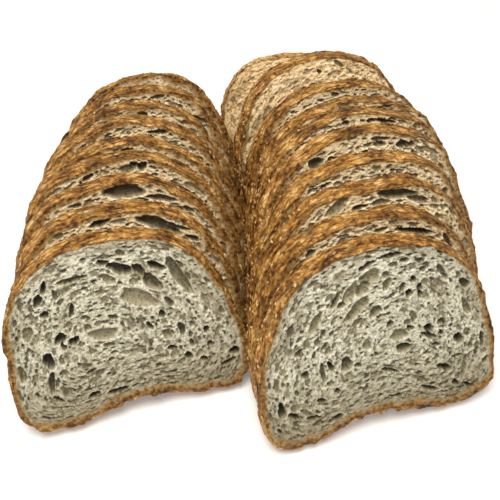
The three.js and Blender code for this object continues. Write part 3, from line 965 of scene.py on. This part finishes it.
RING_RADIUS = 45  # of the ring that carries the crust's pattern round the loaf, in millimetres
PATTERN_STEP = 16.0  # shifts each slice's patterns on from the last one's, so that no two are alike
NET = 1.4  # size of a body's faces in millimetres, before those that show are cut smaller
FRONT_NET = 0.91
WHOLE_CUT = 200  # how far in from the crust a cut is given fine faces, in millimetres: all of it
SHOWN_BAND = {"right_slice_09": 40, "right_heel": 45}  # cuts that show more than a covered one
BAND = 14  # on a covered cut
LEAST_UP = 0.35  # share of the height below which a covered cut is hidden
CUT_LAYER = 0.45  # points nearer than this to a knife's plane are on the cut, in millimetres,
CUT_RIM = 0.6  # unless they are nearer than this to the skin
CUT_SINK = 0.25  # how far the crumb draws back from the knife's plane, in millimetres
COARSE_GRAIN = 0.22  # height of the crumb's roughness along the rings, and of its fine grain
FINE_GRAIN = 0.06
OPENNESS = {"right_slice_09": 0.65, "right_heel": 0.55, "left_heel": 0.6}  # of the foam, by its depth
OPENNESS_BEHIND = 1.2  # on the other covered cuts; 1 on the front ones
# How much painted warm light each slice's crumb is given, from grey 0 to cream 1.
PAINTED_WARM_LIGHT = {"left_slice_01": 0, "right_slice_01": 0, "right_slice_09": 0.9, "right_heel": 1}
PAINTED_WARM_LIGHT_BEHIND = 0.6  # painted warm light on the crumb of the other slices behind the front ones, from grey 0 to cream 1
OVERBAKED = {"left": 1.6, "right": 0.6}  # what the crust is thicker by on covered cuts, in millimetres
OVERBAKED_HEEL = 3.0
OVERBAKED_LEFTWARDS = 3.2  # and by this much more on their left side
UPRIGHT_SLICES = 3  # slices at the front of a row whose crust doesn't lean
LEAN = 0.6  # how far the crusts behind them lean towards the other row, in millimetres
SHADE_REACH = 6  # how far in from the crust the crumb is dense and darker, in millimetres
SHADE_AT_CRUST = 0.5  # and how much darker, from 0 to 1
SHADE_ON_SHOWN_BAND = 0.1
SHADE_AT_BASE = 0.9
SHADE_LEFTWARDS = 0.8


def bake_slice(name, index):
    """Makes one slice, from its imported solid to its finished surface."""
    random = np.random.default_rng(100 + index)
    mirrored = name.startswith("right")
    is_heel = name.endswith("heel")
    is_front = name.endswith("01")
    is_covered = not (is_front or name in SHOWN_BAND)
    cut = read_cut(name)
    outline, high, thickness = cut["outline"], cut["high"], cut["thickness"]
    net = FRONT_NET if is_front else NET
    body = plain_body(cut, net, is_heel)
    band = WHOLE_CUT if is_front else SHOWN_BAND.get(name, BAND)
    least_up = 0 if is_front else LEAST_UP * high

    def is_skin(middles):
        return (rim_of(middles, outline)[0] < 0.4 * net) | (is_heel & (middles[:, 1] > 0.4))

    def shows(middles):
        return (middles[:, 1] < 0.3) & (rim_of(middles, outline)[0] < band) & (middles[:, 2] >= least_up)

    refine(body, is_skin, 1)
    refine(body, shows, 1 if is_front else 2)
    mesh = body.data
    points = rows_of(mesh.vertices, "co", 3)
    rim, along, outward = rim_of(points, outline)
    on_front = (points[:, 1] < CUT_LAYER) & (rim > CUT_RIM)
    on_back = (points[:, 1] > thickness - CUT_LAYER) & (rim > CUT_RIM) & (not is_heel)
    on_cut = on_front | on_back
    points[on_front, 1] = 0
    flat = points[:, [0, 2]].copy()
    detail = (rim < band) & (points[:, 2] >= least_up)

    # The skin: its relief, and the wandering edges where the knife left it.
    middle = np.array([0, 0.42 * high])
    spoke = flat - middle
    spoke /= np.linalg.norm(spoke, axis=1)[:, None] + 1e-6
    around = RING_RADIUS * spoke
    behind = np.clip(points[:, 1] / thickness, 0, 1)
    out, pit = crust_relief(around, along, points[:, 1], along.max(), PATTERN_STEP * index, random)
    out += SWELL - FRONT_EDGE * np.exp(-points[:, 1] / EDGE_FADE)
    if not is_heel:
        out -= BACK_EDGE * np.exp((points[:, 1] - thickness) / EDGE_FADE)
    out *= 1 + BASE_RELIEF * soft(-outward[:, 1])
    if not is_heel and int(name[-2:]) > UPRIGHT_SLICES:
        out += LEAN * soft((outward[:, 0] * (-1 if mirrored else 1) - 0.3) / 0.5)
    points[:, [0, 2]] += outward * (out * np.exp(-rim / SKIN_FADE))[:, None]
    near_rim = np.exp(-rim / RAG_FADE)
    points[:, 1] += near_rim * (1 - behind) * FRONT_RAG * (0.5 + lattice_noise(around / 5, 31 + index))
    if not is_heel:
        points[:, 1] -= near_rim * behind * BACK_RAG * (0.5 + lattice_noise(around / 4, 61 + index))

    # The crumb: large pores, foam in three sizes between them, and thin walls that stand out round both.
    crust = np.interp(
        outward[:, 1],
        (-0.8, -0.3, 0.2, 0.9),
        (CRUST_BELOW, CRUST_LOW_DOWN, CRUST_AT_SIDE, CRUST_ON_TOP),
    )
    leftwards = soft((-flat[:, 0] / cut["half_wide"] - 0.35) / 0.4) * is_covered
    crust += 0.45 * lattice_noise(around / 6, 3 + index) + OVERBAKED_LEFTWARDS * leftwards
    if is_covered:
        extra = OVERBAKED_HEEL if is_heel else OVERBAKED[name.split("_")[0]]
        crust += extra * (0.7 + 0.8 * lattice_noise(around / 7, 91 + index))
    rind = np.where(on_cut, rim / crust, 0)
    inside = soft((rind - 0.8) / 0.5)
    angle, share, _ = ring_frame(flat, cut, mirrored)
    # Depth of the pores, and the painted shade inside them.
    depth, gloom = np.zeros(len(points)), np.zeros(len(points))
    spots = flat[on_front]
    lie = ring_slope(spots, cut, mirrored)
    pressed = np.clip(np.maximum((share[on_front] - 0.8) / 0.2, 1 - spots[:, 1] / (0.28 * high)), 0, 1)
    depth[on_front], gloom[on_front], clear, wall = carve(spots, cut, mirrored, random)
    openness = OPENNESS.get(name, 1 if is_front else OPENNESS_BEHIND)
    for number, layer in enumerate(FOAM):
        bowl, dim, edge = foam(spots, lie, pressed, layer, 200 + 3 * index + number)
        bowl *= clear * openness * np.where(detail[on_front], 1, number == 0)
        ahead = bowl > depth[on_front]
        gloom[on_front] = np.where(ahead, dim, gloom[on_front])
        depth[on_front] = np.where(ahead, bowl, depth[on_front])
        wall = np.maximum(wall, edge * openness * (number < 2) * (1 - 0.5 * pressed))
    depth[on_front] -= WALL_HIGH * wall * soft(1 - depth[on_front] / 0.4)
    depth *= inside
    ring = np.column_stack([RING_RADIUS * np.cos(angle), RING_RADIUS * np.sin(angle)])
    inset = RING_RADIUS * share
    rough = COARSE_GRAIN * lattice_noise(np.column_stack([ring / 3.4, inset / 1.8]), 11 + index)
    rough += FINE_GRAIN * lattice_noise(points / 1.1, 23 + index)
    points[on_front, 1] += (depth + rough + CUT_SINK)[on_front]
    points[on_back, 1] -= (rough + CUT_SINK)[on_back]
    near_crust = np.clip(1 - (rim - crust) / SHADE_REACH, 0, 1)
    near_crust *= SHADE_ON_SHOWN_BAND if name in SHOWN_BAND else SHADE_AT_CRUST
    near_base = np.clip(1 - flat[:, 1] / (0.45 * high), 0, 1)

    flow = np.where(
        on_cut[:, None],
        np.column_stack([ring, inset]),
        np.column_stack([around, points[:, 1] + PATTERN_STEP * index]),
    )
    values = {
        "rind": rind,
        "hollow": np.where(on_cut, depth, pit),
        "gloom": gloom,
        "dense": np.maximum.reduce(
            [near_crust, SHADE_AT_BASE * near_base, SHADE_LEFTWARDS * leftwards]
        ),
        "warm": np.full(len(points), PAINTED_WARM_LIGHT.get(name, PAINTED_WARM_LIGHT_BEHIND)),
    }
    place = np.array(cut["place"])
    points = points @ place[:3, :3].T + place[:3, 3]
    points[:, 2] = np.maximum(points[:, 2], 0)
    mesh.vertices.foreach_set("co", points.ravel())
    for title, value in values.items():
        mesh.attributes.new(title, "FLOAT", "POINT").data.foreach_set("value", value.astype(np.float32))
    mesh.attributes.new("flow", "FLOAT_VECTOR", "POINT").data.foreach_set(
        "vector", flow.astype(np.float32).ravel()
    )
    mesh.polygons.foreach_set("use_smooth", np.ones(len(mesh.polygons), bool))
    mesh.materials.append(bread)
    mesh.update()
    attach(body, "root")
    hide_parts(name)
    return body


bodies = [bake_slice(name, index) for index, name in enumerate(sorted(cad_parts))]


# ---- Seeds ----
# Sesame, hulled and cream-coloured, rolled on before baking and half sunk in the crust. Most of it lies on
# the sides that the halves turn to each other. Each seed is one small closed shape, pointed at one end.

SEED_HALF = (1.2, 0.75, 0.45)  # half of the length, width and height in millimetres
SEED_POINT = 0.45  # how much narrower the pointed end is
SEEDS_PER_MM2 = {"right": 0.045, "left": 0.022}  # on the sides turned to each other
STRAY_SEEDS_PER_MM2 = 0.0012
SEED_RISE = 0.15  # how far a seed's middle stands above the crust, in millimetres

sesame, tree, shader = new_material("sesame_husk")
shader.inputs["Roughness"].default_value = 0.42
shader.inputs["IOR"].default_value = 1.47
tone = add_node(tree, "ShaderNodeAttribute", {"attribute_name": "tone"}).outputs["Fac"]
place = add_node(tree, "ShaderNodeTexCoord").outputs["Object"]
husk = add_node(tree, "ShaderNodeTexNoise", {"Scale": 1000 / 0.8, "Detail": 2.0}, {"Vector": place})
husk_tone = add_node(
    tree,
    "ShaderNodeMix",
    {"data_type": "FLOAT", 0: 0.3},
    {2: tone, 3: husk.outputs["Fac"]},
)
husk_colour = add_node(
    tree,
    "ShaderNodeValToRGB",
    {"stops": [(0.1, "#7d5220"), (0.4, "#ad8046"), (0.7, "#c8a26a"), (0.95, "#dfc292")]},
    {"Fac": husk_tone.outputs[0]},
)
tree.links.new(husk_colour.outputs["Color"], shader.inputs["Base Color"])
grooves = add_node(
    tree,
    "ShaderNodeBump",
    {"Strength": 0.4, "Distance": 0.1 * MM},
    {"Height": husk.outputs["Fac"]},
)
tree.links.new(grooves.outputs["Normal"], shader.inputs["Normal"])

bpy.ops.object.select_all(action="DESELECT")
bpy.ops.mesh.primitive_uv_sphere_add(segments=7, ring_count=5, radius=1, rotation=(0, math.pi / 2, 0))
bpy.ops.object.transform_apply(location=False, rotation=True, scale=False)
seeds = bpy.context.object
seeds.name = "sesame_seeds"
grain_points = rows_of(seeds.data.vertices, "co", 3)
grain_points[:, 1:] *= (1 - SEED_POINT * np.clip(grain_points[:, 0], 0, 1) ** 1.5)[:, None]
grain_points *= np.array(SEED_HALF) * MM
grain_faces = [tuple(face.vertices) for face in seeds.data.polygons]

random = np.random.default_rng(7)
spots, outs = [], []
for body in bodies:
    mesh = body.data
    middles = rows_of(mesh.polygons, "center", 3)
    normals = rows_of(mesh.polygons, "normal", 3)
    areas = rows_of(mesh.polygons, "area", 1)[:, 0] / MM**2
    rind_here = rows_of(mesh.attributes["rind"].data, "value", 1)[:, 0]
    first_corner = np.array([face.vertices[0] for face in mesh.polygons])
    side = body.name.split("_")[0]
    turned = normals[:, 0] * (-1 if side == "right" else 1)
    wanted = STRAY_SEEDS_PER_MM2 + SEEDS_PER_MM2[side] * soft((turned - 0.4) / 0.4)
    wanted *= (rind_here[first_corner] == 0) & (normals[:, 2] > -0.3) & (normals[:, 1] > -0.6)
    picked = random.uniform(0, 1, len(wanted)) < wanted * areas
    spots.append(middles[picked])
    outs.append(normals[picked])
spots, outs = np.concatenate(spots), np.concatenate(outs)
spins = random.normal(0, 1, spots.shape)
lengthwise = np.cross(spins, outs)
lengthwise /= np.linalg.norm(lengthwise, axis=1)[:, None]
crosswise = np.cross(outs, lengthwise)
sizes = random.uniform(0.85, 1.15, len(spots))
turns = np.stack([lengthwise, crosswise, outs], axis=2) * sizes[:, None, None]
sunk = spots + SEED_RISE * MM * outs
all_points = np.einsum("nij,pj->npi", turns, grain_points) + sunk[:, None, :]
count = len(grain_points)
all_faces = [tuple(count * n + v for v in face) for n in range(len(spots)) for face in grain_faces]
seeds.data.clear_geometry()
seeds.data.from_pydata(all_points.reshape(-1, 3).tolist(), [], all_faces)
tones = np.repeat(random.uniform(0, 1, len(spots)), count)
seeds.data.attributes.new("tone", "FLOAT", "POINT").data.foreach_set("value", tones.astype(np.float32))
seeds.data.polygons.foreach_set("use_smooth", np.ones(len(seeds.data.polygons), bool))
seeds.data.materials.append(sesame)
seeds.data.update()
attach(seeds, "root")
